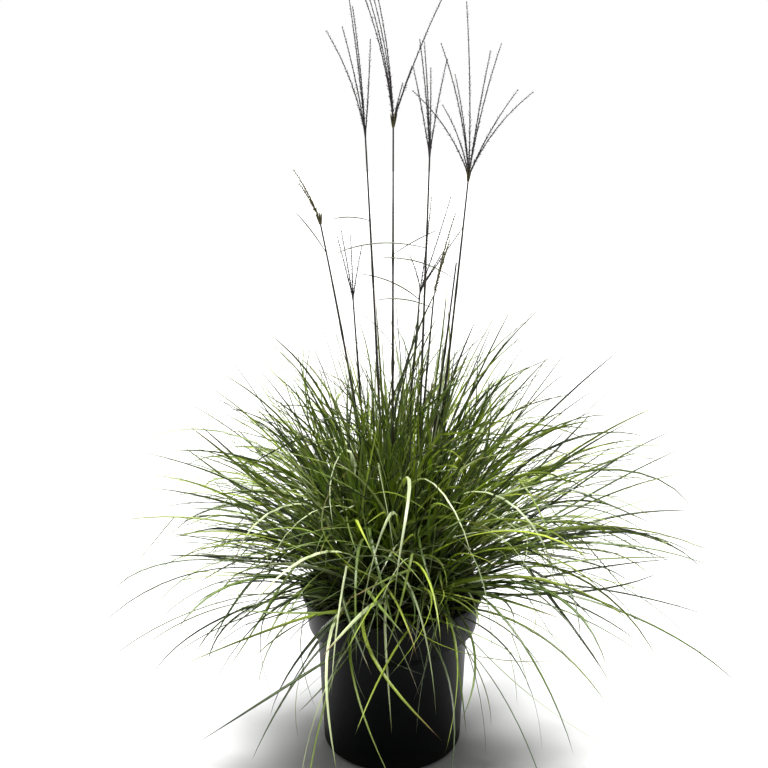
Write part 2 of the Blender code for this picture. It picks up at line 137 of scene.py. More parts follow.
# Longer blades that stand out of the mound, given like the bent ones below.
LONG_BLADES = [
    (0, 0.03, 40, 46, 1.0, 0.56, 0.0042, DARK_PAINTED_SHADE),
    (-12, 0.05, 44, 54, 1.0, 0.52, 0.0040, DARK_PAINTED_SHADE),
    (14, 0.04, 36, 46, 1.0, 0.54, 0.0042, DARK_PAINTED_SHADE),
    (4, 0.02, 28, 44, 1.0, 0.50, 0.0036, GREEN),
    (-8, 0.04, 34, 150, 1.6, 0.60, 0.0044, GREEN),
    (10, 0.04, 38, 140, 1.7, 0.60, 0.0040, YELLOW_PAINTED_LIT),
    (-4, 0.06, 52, 172, 1.5, 0.58, 0.0036, DARK_PAINTED_SHADE),
    (20, 0.03, 18, 34, 1.2, 0.47, 0.0034, DARK_PAINTED_SHADE),
    (-20, 0.05, 50, 110, 1.2, 0.50, 0.0040, GREEN),
    (8, 0.06, 58, 96, 1.1, 0.50, 0.0038, GREEN),
    (-28, 0.08, 56, 152, 1.3, 0.54, 0.0040, DARK_PAINTED_SHADE),
    (-35, 0.09, 60, 138, 1.1, 0.56, 0.0042, GREEN),
    (178, 0.04, 20, 128, 1.7, 0.58, 0.0034, GREEN),
    (188, 0.05, 34, 102, 1.3, 0.52, 0.0034, YELLOW_PAINTED_LIT),
    (172, 0.03, 26, 140, 2.0, 0.56, 0.0034, DARK_PAINTED_SHADE),
    (170, 0.03, 30, 62, 1.0, 0.47, 0.0036, DARK_PAINTED_SHADE),
    (196, 0.06, 44, 104, 1.2, 0.50, 0.0042, YELLOW_PAINTED_LIT),
    (184, 0.08, 58, 92, 1.0, 0.46, 0.0040, DARK_PAINTED_SHADE),
    (165, 0.05, 16, 40, 1.3, 0.44, 0.0034, GREEN),
    (205, 0.04, 26, 120, 1.6, 0.50, 0.0040, GREEN),
    (212, 0.08, 58, 140, 1.2, 0.52, 0.0042, DARK_PAINTED_SHADE),
    (60, 0.03, 30, 90, 1.3, 0.52, 0.0038, GREEN),
    (95, 0.05, 40, 104, 1.2, 0.50, 0.0036, DARK_PAINTED_SHADE),
    (130, 0.04, 24, 64, 1.2, 0.52, 0.0038, YELLOW_PAINTED_LIT),
    (-90, 0.02, 10, 40, 1.6, 0.44, 0.0042, GREEN),
    (-60, 0.05, 28, 84, 1.4, 0.46, 0.0046, YELLOW_PAINTED_LIT),
    (-125, 0.05, 26, 90, 1.4, 0.48, 0.0046, GREEN),
    (-140, 0.03, 16, 46, 1.1, 0.40, 0.0052, YELLOW_PAINTED_LIT),
    (-150, 0.05, 24, 40, 1.0, 0.42, 0.0050, YELLOW_PAINTED_LIT),
    (-128, 0.06, 22, 52, 1.2, 0.36, 0.0048, YELLOW_PAINTED_LIT),
    (-40, 0.04, 26, 70, 1.2, 0.42, 0.0050, YELLOW_PAINTED_LIT),
    (-28, 0.06, 38, 74, 1.0, 0.40, 0.0050, YELLOW_PAINTED_LIT),
    (-48, 0.07, 30, 86, 1.2, 0.38, 0.0048, YELLOW_PAINTED_LIT),
    (-80, 0.07, 14, 60, 1.3, 0.36, 0.0046, YELLOW_PAINTED_LIT),
    (-105, 0.08, 24, 104, 1.4, 0.38, 0.0044, GREEN),
    (15, 0.03, 10, 34, 1.3, 0.56, 0.0038, DARK_PAINTED_SHADE),
    (30, 0.02, 14, 58, 1.5, 0.58, 0.0036, DARK_PAINTED_SHADE),
    (-10, 0.04, 8, 30, 1.2, 0.52, 0.0040, GREEN),
    (5, 0.05, 16, 28, 1.0, 0.56, 0.0038, DARK_PAINTED_SHADE),
    (172, 0.03, 6, 26, 1.3, 0.50, 0.0036, GREEN),
    (150, 0.04, 12, 70, 1.6, 0.54, 0.0036, DARK_PAINTED_SHADE),
    (190, 0.04, 16, 24, 1.0, 0.46, 0.0038, DARK_PAINTED_SHADE),
    (182, 0.05, 22, 34, 1.0, 0.48, 0.0042, DARK_PAINTED_SHADE),
]

# Blades that are bent over and show their pale undersides, made paler still by painted sheen, chiefly
# in front: heading in degrees, radius where it roots, angle from upright there and at the tip, how
# late it bends (1 is evenly), length, width and kind.
BENT_BLADES = [
    (-140, 0.06, 12, 178, 1.9, 0.42, 0.0048, PALE_PAINTED_SHEEN),
    (-128, 0.05, 8, 178, 1.7, 0.44, 0.0050, PALE_PAINTED_SHEEN),
    (-116, 0.08, 20, 174, 1.3, 0.34, 0.0042, GREEN),
    (-104, 0.04, 6, 178, 1.9, 0.56, 0.0060, PALE_PAINTED_SHEEN),
    (-100, 0.07, 16, 178, 1.5, 0.46, 0.0050, GREEN),
    (-96, 0.09, 30, 165, 1.0, 0.36, 0.0048, PALE_PAINTED_SHEEN),
    (-92, 0.06, 14, 178, 1.6, 0.54, 0.0056, PALE_PAINTED_SHEEN),
    (-88, 0.10, 38, 156, 0.9, 0.34, 0.0044, GREEN),
    (-83, 0.04, 8, 178, 1.9, 0.52, 0.0060, PALE_PAINTED_SHEEN),
    (-78, 0.08, 24, 172, 1.2, 0.42, 0.0052, PALE_PAINTED_SHEEN),
    (-72, 0.05, 10, 178, 1.8, 0.58, 0.0058, PALE_PAINTED_SHEEN),
    (-66, 0.07, 16, 178, 1.4, 0.48, 0.0058, PALE_PAINTED_SHEEN),
    (-58, 0.05, 12, 176, 1.8, 0.50, 0.0060, PALE_PAINTED_SHEEN),
    (-50, 0.07, 16, 172, 1.5, 0.46, 0.0054, PALE_PAINTED_SHEEN),
    (-44, 0.10, 30, 168, 1.0, 0.42, 0.0046, GREEN),
    (-35, 0.09, 34, 150, 1.2, 0.46, 0.0044, YELLOW_PAINTED_LIT),
    (-132, 0.10, 34, 165, 1.0, 0.42, 0.0046, GREEN),
    (-150, 0.08, 26, 150, 1.4, 0.48, 0.0052, PALE_PAINTED_SHEEN),
    (-160, 0.10, 44, 135, 1.2, 0.44, 0.0040, GREEN),
    (-20, 0.10, 40, 132, 1.2, 0.46, 0.0044, YELLOW_PAINTED_LIT),
    (-110, 0.10, 36, 160, 0.9, 0.42, 0.0044, PALE_PAINTED_SHEEN),
    (-70, 0.10, 34, 158, 0.9, 0.44, 0.0044, GREEN),
]

# Each culm: foot x, y on the crown; lean to the right and to the back in degrees; height of its
# head; and how late it bends over (1 is straight).
CULMS = [
    (-0.025, -0.010, -8.0, -3.0, 0.88, 1.35),
    (-0.030, 0.010, -4.0, 2.0, 0.75, 1.0),
    (-0.010, -0.020, -2.5, 0.0, 1.00, 1.2),
    (0.000, 0.010, 0.0, 1.0, 1.02, 1.0),
    (0.035, -0.020, 1.5, -1.0, 0.97, 1.0),
    (0.010, 0.030, 4.0, 2.0, 0.76, 1.15),
    (0.025, 0.000, 4.5, -1.0, 0.76, 1.0),
    (0.045, 0.005, 6.0, 0.5, 0.94, 0.85),
    (0.035, 0.025, 7.0, 1.0, 0.81, 0.9),
]

# Each panicle: the number of the culm that bears it, then its racemes as lean to the right and lean
# to the back, both in degrees from upright, length, and how far in degrees the tip arches over.
PANICLES = [
    (1, [(-20, -4, 0.08, 14), (-24, 6, 0.06, 12)]),
    (2, [(-13, 4, 0.10, 2), (-8, -6, 0.11, 2), (-1, 5, 0.10, 2), (8, -3, 0.085, 4)]),
    (3, [(-10, 4, 0.16, 22), (-8, -8, 0.155, 8), (-5, 10, 0.21, 4), (-3, -3, 0.18, 5),
         (5, -5, 0.135, -3)]),
    (4, [(-6, 5, 0.225, 18), (-5, -5, 0.22, 16), (-3, 12, 0.21, 14), (-2, -11, 0.195, 12),
         (18, 4, 0.23, 10), (17, -8, 0.085, 4), (12, 9, 0.06, 4)]),
    (5, [(-9, 6, 0.13, 4), (-3, -9, 0.165, 6), (-1, 9, 0.165, 4), (1, -3, 0.125, -2),
         (7, 3, 0.14, 6)]),
    (6, [(-8, 5, 0.06, 18), (8, -6, 0.15, -4), (20, 6, 0.155, -4), (28, -4, 0.08, 4),
         (32, 3, 0.12, 4)]),
    (7, [(10, 0, 0.13, 8), (12, 7, 0.09, 8), (11, -7, 0.08, 8)]),
    (8, [(-20, -8, 0.155, 30), (-10, 9, 0.115, 22), (-6, -13, 0.20, 16), (-3, 11, 0.155, 10),
         (1, -2, 0.25, -6), (6, -12, 0.185, 4), (9, 10, 0.205, 10), (21, -5, 0.145, 16),
         (23, 7, 0.16, 30)]),
]

GOLDEN_PANICLES = (1, 7)
GOLDEN_SWELL = 1.7  # their spikelets are plumper by this much
HUB_SHEATHS = (1, 4, 8)  # the panicles with leafy sheaths round their foot
HUB_SHEATH_COUNT = 6
RACEME_STEPS = 12
RACEME_FOOT_RADIUS = 0.00095
RACEME_TIP_RADIUS = 0.00042
SPIKELET_SPACING = 0.0042
SPIKELET_RADIUS = 0.00085
SPIKELET_LENGTHS = (0.0042, 0.0062)
SPIKELET_SPREADS = (0.10, 0.18, 0.28, 0.65)  # how far they stand off their raceme, in radians
HUB_SHEATH_LENGTHS = (0.018, 0.027)
HUB_SHEATH_RADIUS = 0.0019

# Each flag leaf: the number of its culm, the height it leaves that at, its heading in degrees (0 is
# to the right, 90 to the back), its angle from upright at the culm and at the tip, how late it
# bends, and its length.
FLAG_LEAVES = [
    (9, 0.785, 200, 55, 95, 1.0, 0.145),
    (5, 0.84, 195, 75, 115, 1.2, 0.15),
    (7, 0.745, 205, 62, 98, 1.0, 0.105),
    (4, 0.825, 5, 55, 70, 1.0, 0.085),
    (2, 0.74, -30, 120, 178, 2.5, 0.12),
    (3, 0.88, 195, 70, 105, 1.0, 0.06),
    (1, 0.835, 195, 30, 45, 1.0, 0.08),
    (6, 0.75, 170, 50, 88, 1.0, 0.11),
]


# ---------------------------------------------------------------- material helpers
def add_node(tree, kind, inputs=None, **settings):
    """Add a node; each input is a value, or an output socket to link from."""
    node = tree.nodes.new(kind)
    for key, value in settings.items():
        setattr(node, key, value)
    for key, value in (inputs or {}).items():
        if isinstance(value, bpy.types.NodeSocket):
            tree.links.new(value, node.inputs[key])
        else:
            node.inputs[key].default_value = value
    return node


def math_node(tree, operation, a, b=0.0, clamp=False):
    node = add_node(tree, "ShaderNodeMath", {0: a, 1: b}, operation=operation, use_clamp=clamp)
    return node.outputs[0]


def blend_colours(tree, share, first, second, blend_type="MIX"):
    node = add_node(tree, "ShaderNodeMix", data_type="RGBA", blend_type=blend_type)
    for index, value in ((0, share), (6, first), (7, second)):
        if isinstance(value, bpy.types.NodeSocket):
            tree.links.new(value, node.inputs[index])
        else:
            node.inputs[index].default_value = value
    return node.outputs[2]


def colour_steps(tree, share, stops, interpolation="LINEAR"):
    """A colour ramp whose stops are (place, (red, green, blue))."""
    node = add_node(tree, "ShaderNodeValToRGB", {0: share})
    ramp = node.color_ramp
    ramp.interpolation = interpolation
    while len(ramp.elements) < len(stops):
        ramp.elements.new(1.0)
    for element, (place, colour) in zip(ramp.elements, stops):
        element.position = place
        element.color = (*colour, 1.0)
    return node.outputs[0]


def remap(tree, value, low, high, to_low=0.0, to_high=1.0):
    node = add_node(
        tree,
        "ShaderNodeMapRange",
        {"Value": value, "From Min": low, "From Max": high, "To Min": to_low, "To Max": to_high},
    )
    return node.outputs[0]


def noise(tree, vector, scale, detail=3.0, roughness=0.55):
    node = add_node(
        tree,
        "ShaderNodeTexNoise",
        {"Vector": vector, "Scale": scale, "Detail": detail, "Roughness": roughness},
    )
    return node.outputs[0]


def new_material(name):
    """A material with nodes, its tree, its shader and its Object coordinates."""
    material = bpy.data.materials.new(name)
    material.use_nodes = True
    tree = material.node_tree
    shader = tree.nodes["Principled BSDF"]
    place = add_node(tree, "ShaderNodeTexCoord").outputs["Object"]
    return material, tree, shader, place


def grey(tree, tone):
    """A colour whose three channels are all this tone."""
    return add_node(tree, "ShaderNodeCombineColor", {0: tone, 1: tone, 2: tone}).outputs[0]


def add_bump(tree, shader, height, distance, strength=1.0):
    bump = add_node(
        tree, "ShaderNodeBump", {"Height": height, "Distance": distance, "Strength": strength}
    )
    tree.links.new(bump.outputs[0], shader.inputs["Normal"])
    return bump.outputs[0]


# ---------------------------------------------------------------- materials
def leaf_material():
    """Blade colours by the cell of the blade's own map: midrib, veins, patches, dry tips, painted
    shade towards the base, and rows with painted light, painted sheen and painted shade.
    """
    material = bpy.data.materials.new("grass leaf")
    material.use_nodes = True
    tree = material.node_tree
    shader = tree.nodes["Principled BSDF"]
    leaf_map = add_node(tree, "ShaderNodeUVMap", uv_map="OFBake").outputs[0]
    split = add_node(tree, "ShaderNodeSeparateXYZ", {0: leaf_map})
    column_place = math_node(tree, "MULTIPLY", split.outputs[0], TINT_COLUMNS)
    row_place = math_node(tree, "MULTIPLY", split.outputs[1], TINT_ROWS)
    column = math_node(tree, "FLOOR", column_place)
    row = math_node(tree, "FLOOR", row_place)
    across = math_node(tree, "FRACT", column_place)
    along = math_node(tree, "FRACT", row_place)

    cell = add_node(tree, "ShaderNodeCombineXYZ", {0: column, 1: row, 2: 0.5}).outputs[0]
    lots = add_node(tree, "ShaderNodeTexWhiteNoise", {"Vector": cell}, noise_dimensions="3D")
    lot = add_node(tree, "ShaderNodeSeparateXYZ", {0: lots.outputs["Color"]})
    first_lot, second_lot, third_lot = lot.outputs[0], lot.outputs[1], lot.outputs[2]

    kind = math_node(tree, "DIVIDE", math_node(tree, "ADD", row, 0.5), TINT_ROWS)
    # rows in order: green; yellow-green, painted light; pale underside, partly painted sheen; dark
    # green, painted shade
    deep = colour_steps(
        tree,
        kind,
        [
            (0.00, (0.048, 0.098, 0.010)),
            (0.25, (0.190, 0.270, 0.012)),
            (0.50, (0.240, 0.300, 0.150)),
            (0.75, (0.014, 0.030, 0.005)),
        ],
        "CONSTANT",
    )
    light = colour_steps(
        tree,
        kind,
        [
            (0.00, (0.230, 0.310, 0.045)),
            (0.25, (0.390, 0.460, 0.050)),
            (0.50, (0.560, 0.610, 0.400)),
            (0.75, (0.040, 0.072, 0.012)),
        ],
        "CONSTANT",
    )
    ground = blend_colours(tree, first_lot, deep, light)

    patch_place = add_node(
        tree,
        "ShaderNodeCombineXYZ",
        {
            0: math_node(tree, "MULTIPLY", across, 1.5),
            1: math_node(tree, "MULTIPLY", along, 9.0),
            2: math_node(tree, "MULTIPLY", first_lot, 40.0),
        },
    ).outputs[0]
    patches = noise(tree, patch_place, 1.0, 2.0)
    tone = remap(tree, patches, 0.3, 0.7, 0.72, 1.25)
    toned = blend_colours(tree, 1.0, ground, grey(tree, tone), "MULTIPLY")

    vein_place = add_node(
        tree,
        "ShaderNodeCombineXYZ",
        {
            0: math_node(tree, "MULTIPLY", across, 16.0),
            1: math_node(tree, "MULTIPLY", along, 5.0),
            2: math_node(tree, "MULTIPLY", second_lot, 40.0),
        },
    ).outputs[0]
    veins = noise(tree, vein_place, 1.0, 2.0)
    vein_tone = remap(tree, veins, 0.35, 0.65, 0.86, 1.14)
    veined = blend_colours(tree, 1.0, toned, grey(tree, vein_tone), "MULTIPLY")

    from_midrib = math_node(tree, "ABSOLUTE", math_node(tree, "SUBTRACT", across, 0.5))
    midrib = remap(tree, from_midrib, 0.05, 0.10, 0.55, 0.0)
    ribbed = blend_colours(tree, midrib, veined, (0.42, 0.47, 0.24, 1.0))

    # painted shade: each blade darkens to near-black green towards its base, standing in for the
    # shade inside the mound
    sheath = remap(tree, along, 0.04, 0.40, 0.88, 0.0)
    base_shaded = blend_colours(tree, sheath, ribbed, (0.022, 0.032, 0.008, 1.0))

    dry_start = remap(tree, third_lot, 0.0, 1.0, 0.80, 1.10)
    dryness = math_node(tree, "MULTIPLY", math_node(tree, "SUBTRACT", along, dry_start), 9.0, True)
    coloured = blend_colours(tree, dryness, base_shaded, (0.26, 0.17, 0.07, 1.0))

    tree.links.new(coloured, shader.inputs["Base Color"])
    tree.links.new(remap(tree, veins, 0.3, 0.7, 0.26, 0.42), shader.inputs["Roughness"])
    shader.inputs["Specular IOR Level"].default_value = 0.55
    ridge_wave = math_node(tree, "SINE", math_node(tree, "MULTIPLY", across, 56.0))
    relief = math_node(tree, "SUBTRACT", math_node(tree, "MULTIPLY", ridge_wave, 0.35), midrib)
    normal = add_bump(tree, shader, relief, 0.00012, 0.7)

    glow = blend_colours(tree, 1.0, coloured, (1.45, 1.50, 0.60, 1.0), "MULTIPLY")
    through = add_node(tree, "ShaderNodeBsdfTranslucent", {"Color": glow, "Normal": normal})
    both = add_node(
        tree, "ShaderNodeMixShader", {0: 0.32, 1: shader.outputs[0], 2: through.outputs[0]}
    )
    tree.links.new(both.outputs[0], tree.nodes["Material Output"].inputs["Surface"])
    return material


def pot_material():
    """Satin black polyethylene, with a fine moulded grain, rubbed arcs and a little dust."""
    material, tree, shader, place = new_material("black pot plastic")
    clouds = noise(tree, place, 9.0, 4.0)
    grain = noise(tree, place, 900.0, 2.0)
    around = add_node(tree, "ShaderNodeMapping", {"Vector": place, "Scale": (14.0, 14.0, 90.0)})
    rubs = noise(tree, around.outputs[0], 1.0, 6.0, 0.7)
    height = add_node(tree, "ShaderNodeSeparateXYZ", {0: place}).outputs[2]
    base = colour_steps(
        tree, clouds, [(0.3, (0.0036, 0.0044, 0.0046)), (0.75, (0.0075, 0.0082, 0.0078))]
    )
    scuffs = remap(tree, rubs, 0.60, 0.78, 0.0, 0.35)
    scuffed = blend_colours(tree, scuffs, base, (0.022, 0.022, 0.020, 1.0))
    low_dust = remap(tree, height, 0.0, 0.035, 0.55, 0.0)
    high_dust = remap(tree, height, POT_TOP - COLLAR_DEPTH, POT_TOP, 0.0, 0.30)
    dust_amount = math_node(tree, "MULTIPLY", math_node(tree, "ADD", low_dust, high_dust), clouds)
    dusted = blend_colours(tree, dust_amount, scuffed, (0.038, 0.036, 0.029, 1.0))
    tree.links.new(dusted, shader.inputs["Base Color"])
    rough = math_node(tree, "ADD", remap(tree, clouds, 0.3, 0.7, 0.36, 0.50), dust_amount)
    tree.links.new(rough, shader.inputs["Roughness"])
    shader.inputs["Specular IOR Level"].default_value = 0.08
    relief = math_node(tree, "ADD", math_node(tree, "MULTIPLY", grain, 0.25), rubs)
    add_bump(tree, shader, relief, 0.00035, 0.5)
    return material


def medium_material():
    """Dark peaty growing medium with paler bark crumbs."""
    material, tree, shader, place = new_material("growing medium crumbs")
    crumbs = add_node(tree, "ShaderNodeTexVoronoi", {"Vector": place, "Scale": 260.0})
    fine = noise(tree, place, 700.0, 5.0, 0.7)
    tint = add_node(tree, "ShaderNodeSeparateXYZ", {0: crumbs.outputs["Color"]}).outputs[0]
    ground = colour_steps(
        tree,
        tint,
        [
            (0.0, (0.010, 0.007, 0.005)),
            (0.7, (0.040, 0.026, 0.016)),
            (0.92, (0.105, 0.068, 0.038)),
            (1.0, (0.200, 0.160, 0.110)),
        ],
    )
    damp = remap(tree, fine, 0.4, 0.7, 0.0, 0.6)
    mottled = blend_colours(tree, damp, ground, (0.018, 0.012, 0.008, 1.0))
    tree.links.new(mottled, shader.inputs["Base Color"])
    shader.inputs["Roughness"].default_value = 0.93
    hollows = math_node(tree, "MULTIPLY", crumbs.outputs["Distance"], 1.6)
    relief = math_node(tree, "SUBTRACT", fine, hollows)
    add_bump(tree, shader, relief, 0.003, 1.0)
    return material


def straw_material(name, dark, light, streaks=420.0, roughness=0.6):
    """Streaky plant fibre, from a dark to a light tone, for culms, sheaths and panicles."""
    material, tree, shader, place = new_material(name)
    stretched = add_node(tree, "ShaderNodeMapping", {"Vector": place, "Scale": (1.0, 1.0, 0.06)})
    fibres = noise(tree, stretched.outputs[0], streaks, 4.0, 0.6)
    blotches = noise(tree, place, 38.0, 3.0)
    fibre_share = math_node(tree, "MULTIPLY", fibres, 0.6)
    blotch_share = math_node(tree, "MULTIPLY", blotches, 0.5)
    mixed = math_node(tree, "ADD", fibre_share, blotch_share)
    tone = colour_steps(tree, mixed, [(0.36, dark), (0.74, light)])
    tree.links.new(tone, shader.inputs["Base Color"])
    rough = remap(tree, fibres, 0.3, 0.7, roughness - 0.08, roughness + 0.1)
    tree.links.new(rough, shader.inputs["Roughness"])
    add_bump(tree, shader, fibres, 0.0003, 0.7)
    return material


def floor_material():
    """A plain pale floor, very slightly mottled."""
    material, tree, shader, place = new_material("pale studio floor")
    mottle = noise(tree, place, 3.0, 3.0)
    tone = colour_steps(
        tree, mottle, [(0.2, (0.445, 0.445, 0.443)), (0.8, (0.465, 0.465, 0.462))]
    )
    tree.links.new(tone, shader.inputs["Base Color"])
    shader.inputs["Roughness"].default_value = 0.9
    shader.inputs["Specular IOR Level"].default_value = 0.1
    return material


# ---------------------------------------------------------------- shared shapes
def finish_piece(bm, name, material, nodes, smooth_angle=None):
    """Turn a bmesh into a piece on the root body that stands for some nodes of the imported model."""
    mesh = bpy.data.meshes.new(name)
    bm.to_mesh(mesh)
    bm.free()
    mesh.materials.append(material)
    mesh.shade_smooth()
    if smooth_angle is not None:
        mesh.set_sharp_from_angle(angle=math.radians(smooth_angle))
    piece = bpy.data.objects.new(name, mesh)
    bpy.context.scene.collection.objects.link(piece)
    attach(piece, "root")
    if nodes:
        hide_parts(*nodes)
    return piece


def bar_template(name, sides, steps, pointed):
    """A straight closed bar along +Z from 0 to 1 with a radius of 1, cut into even steps."""
    bm = bmesh.new()
    bmesh.ops.create_cone(
        bm,
        cap_ends=True,
        segments=sides,
        radius1=1.0,
        radius2=1.0,
        depth=1.0,
        matrix=Matrix.Translation((0.0, 0.0, 0.5)),
    )
    long_edges = [e for e in bm.edges if abs(e.verts[0].co.z - e.verts[1].co.z) > 0.5]
    bmesh.ops.subdivide_edges(bm, edges=long_edges, cuts=steps - 1)
    if pointed:
        tip = [v for v in bm.verts if v.co.z > 1.0 - 0.5 / steps]
        bmesh.ops.pointmerge(bm, verts=tip, merge_co=(0.0, 0.0, 1.0))
    bmesh.ops.recalc_face_normals(bm, faces=bm.faces[:])
    leaf_map = bm.loops.layers.uv.new("OFBake")
    for face in bm.faces:
        is_cap = len({round(v.co.z * steps) for v in face.verts}) == 1
        for loop in face.loops:
            across = 0.5 + 0.5 * loop.vert.co.x
            along = loop.vert.co.z
            if is_cap:
                along += 0.01 + 0.01 * loop.vert.co.y
            loop[leaf_map].uv = (across, min(1.0, along))
    for edge in bm.edges:
        margin = all(abs(v.co.x) > 0.99 for v in edge.verts)
        if sides == 4 and margin:
            edge.smooth = False
    mesh = bpy.data.meshes.new(name)
    bm.to_mesh(mesh)
    bm.free()
    return mesh


def append_template(bm, template):
    """Add a copy of a template to a bmesh, and return its new vertices."""
    known = len(bm.verts)
    bm.from_mesh(template)
    bm.verts.ensure_lookup_table()
    return bm.verts[known:]


def frames_along(points, first_side):
    """Direction, side and upper normal at each point of a path, turned as little as possible."""
    frames = []
    side = first_side
    last = len(points) - 1
    for i in range(last + 1):
        along = (points[min(i + 1, last)] - points[max(i - 1, 0)]).normalized()
        side = (side - along * side.dot(along)).normalized()
        frames.append((along, side, side.cross(along)))
    return frames


# ---------------------------------------------------------------- leaf blades
def clear_of_pot(point):
    """Keep a blade above the floor, and outside the pot's rim where it hangs over it."""
    reach = math.hypot(point.x, point.y)
    clear_radius = RIM_RADIUS + RIM_CLEARANCE
    clear_height = POT_TOP + RIM_CLEARANCE
    if point.z < clear_height and reach < clear_radius:
        if reach > CROWN_RADIUS:
            point.x *= clear_radius / reach
            point.y *= clear_radius / reach
        else:
            point.z = clear_height
    point.z = max(point.z, FLOOR_CLEARANCE)
    return point


def arching_path(root, turn, start_lean, tip_lean, bend, length, drift=0.0, kink=None):
    """A blade's midrib: its lean from upright grows towards the tip, and its heading drifts.

    A kink is the share of the length where it starts, and how many degrees it adds to the lean.
    """
    points = [root.copy()]
    step = length / BLADE_STEPS
    for i in range(BLADE_STEPS):
        share = (i + 0.5) / BLADE_STEPS
        lean = start_lean + (tip_lean - start_lean) * share**bend
        if kink and share > kink[0]:
            lean = max(lean, min(lean + kink[1], KINK_LEAN))
        tilt = math.radians(min(lean, STEEPEST_LEAN))
        heading = turn + drift * share * share
        ahead = Vector(
            (
                math.sin(tilt) * math.cos(heading),
                math.sin(tilt) * math.sin(heading),
                math.cos(tilt),
            )
        )
        points.append(clear_of_pot(points[-1] + step * ahead))
    return points


def share_of_limit(points):
    """How far a path reaches, as a share of the limit on that side."""
    return max(max(p.x / RIGHT_LIMIT, -p.x / LEFT_LIMIT, abs(p.y) / DEPTH_LIMIT) for p in points)


def path_within_limit(root, turn, start_lean, tip_lean, bend, length, drift, kink):
    """An arching path, made shorter until it stays inside the outer limit."""
    points = arching_path(root, turn, start_lean, tip_lean, bend, length, drift, kink)
    while share_of_limit(points) > 1.0:
        length *= 0.97 / share_of_limit(points)
        points = arching_path(root, turn, start_lean, tip_lean, bend, length, drift, kink)
    return points


def blade_half_width(width, share):
    """A blade is narrow at its sheath, widest before its middle, and drawn out to a fine point."""
    opening = 0.62 + 0.38 * min(1.0, share / 0.28)
    return 0.5 * width * opening * max(0.0, 1.0 - share**3.4) ** 0.75


def lay_blade(bm, template, points, width, first_side, twist, tint):
    """Lay a blade along a path; tint is its kind and its column in the leaf material."""
    frames = frames_along(points, first_side)
    for vert in append_template(bm, template):
        across, through, share = vert.co
        i = min(round(share * BLADE_STEPS), len(points) - 1)
        along, side, up = frames[i]
        turn = twist[0] + twist[1] * share
        lateral = math.cos(turn) * side + math.sin(turn) * up
        upper = math.cos(turn) * up - math.sin(turn) * side
        half = blade_half_width(width, share)
        body = 0.5 * BLADE_THICKNESS * (1.0 - 0.6 * share)
        vert.co = points[i] + across * half * lateral
        vert.co += (through * body + abs(across) * BLADE_FOLD * half) * upper
    leaf_map = bm.loops.layers.uv.verify()
    kind, column = tint
    room = 1.0 - 2.0 * CELL_MARGIN
    bm.faces.ensure_lookup_table()
    for face in bm.faces[-len(template.polygons) :]:
        for loop in face.loops:
            place = loop[leaf_map].uv
            loop[leaf_map].uv = (
                (column + CELL_MARGIN + room * place.x) / TINT_COLUMNS,
                (kind + CELL_MARGIN + room * place.y) / TINT_ROWS,
            )


def between(low, high, share):
    """The value that lies this share of the way from low to high."""
    return low + (high - low) * share


def choose_kind(rng, chances):
    """Pick a blade kind by its chances for (green, yellow-green with painted light, pale with painted
    sheen, dark with painted shade).
    """
    return rng.choices(range(TINT_ROWS), weights=chances)[0]


def add_ring_blade(bm, template, ring, middle, rng):
    """Grow one blade of a ring, somewhere in the sector of the tuft whose middle is given."""
    low, high = ring["low"], ring["high"]
    stray_turn, stray_lean, stray_drift = ring["stray"]
    turn = middle + math.radians(rng.uniform(-0.58, 0.58) * 360.0 / ring["tufts"])
    height = rng.random()
    radius = between(low[0], high[0], height) * rng.uniform(0.7, 1.08)
    start = abs(between(low[1], high[1], height) + rng.gauss(0.0, stray_lean))
    tip = between(low[2], high[2], height) + rng.gauss(0.0, 1.6 * stray_lean)
    root_turn = turn + math.radians(rng.gauss(0.0, stray_turn))
    root_height = CROWN_TOP - ROOT_DEPTH + rng.uniform(-0.006, 0.006)
    root = Vector((radius * math.cos(root_turn), radius * math.sin(root_turn), root_height))
    longer = 1.0 + ring["extra"] * math.cos(turn - math.radians(ring["long_side"]))
    length = ring["length"] * longer * rng.triangular(0.45, 1.12, 0.95)
    drift = math.radians(rng.gauss(0.0, stray_drift))
    bend = ring["bend"] * rng.uniform(0.7, 1.5)
    kink = None
    if rng.random() < KINK_CHANCE:
        kink = (rng.uniform(0.4, 0.75), rng.uniform(30.0, 90.0))
    points = path_within_limit(root, turn, start, tip, bend, length, drift, kink)
    side = Vector((-math.sin(turn), math.cos(turn), 0.0))
    twist = (rng.gauss(0.0, 0.6), rng.gauss(0.0, 1.3))
    width = ring["width"] * rng.uniform(0.55, 1.35)
    tint = (choose_kind(rng, ring["kinds"]), rng.randrange(TINT_COLUMNS))
    lay_blade(bm, template, points, width, side, twist, tint)


def make_leaf_tufts(material, template):
    """The blades of the mound, one piece for each tuft of each ring."""
    rng = random.Random(20)
    for ring in RINGS:
        for index in range(ring["tufts"]):
            bm = bmesh.new()
            bm.loops.layers.uv.new("OFBake")
            middle = math.radians(ring["first_turn"] + 360.0 * index / ring["tufts"])
            for _ in range(ring["blades"]):
                add_ring_blade(bm, template, ring, middle, rng)
            piece_name = f"leaf_blades_{ring['name']}_{index + 1}"
            node_name = f"leaf_tuft_{ring['name']}_{index + 1}"
            finish_piece(bm, piece_name, material, [node_name])


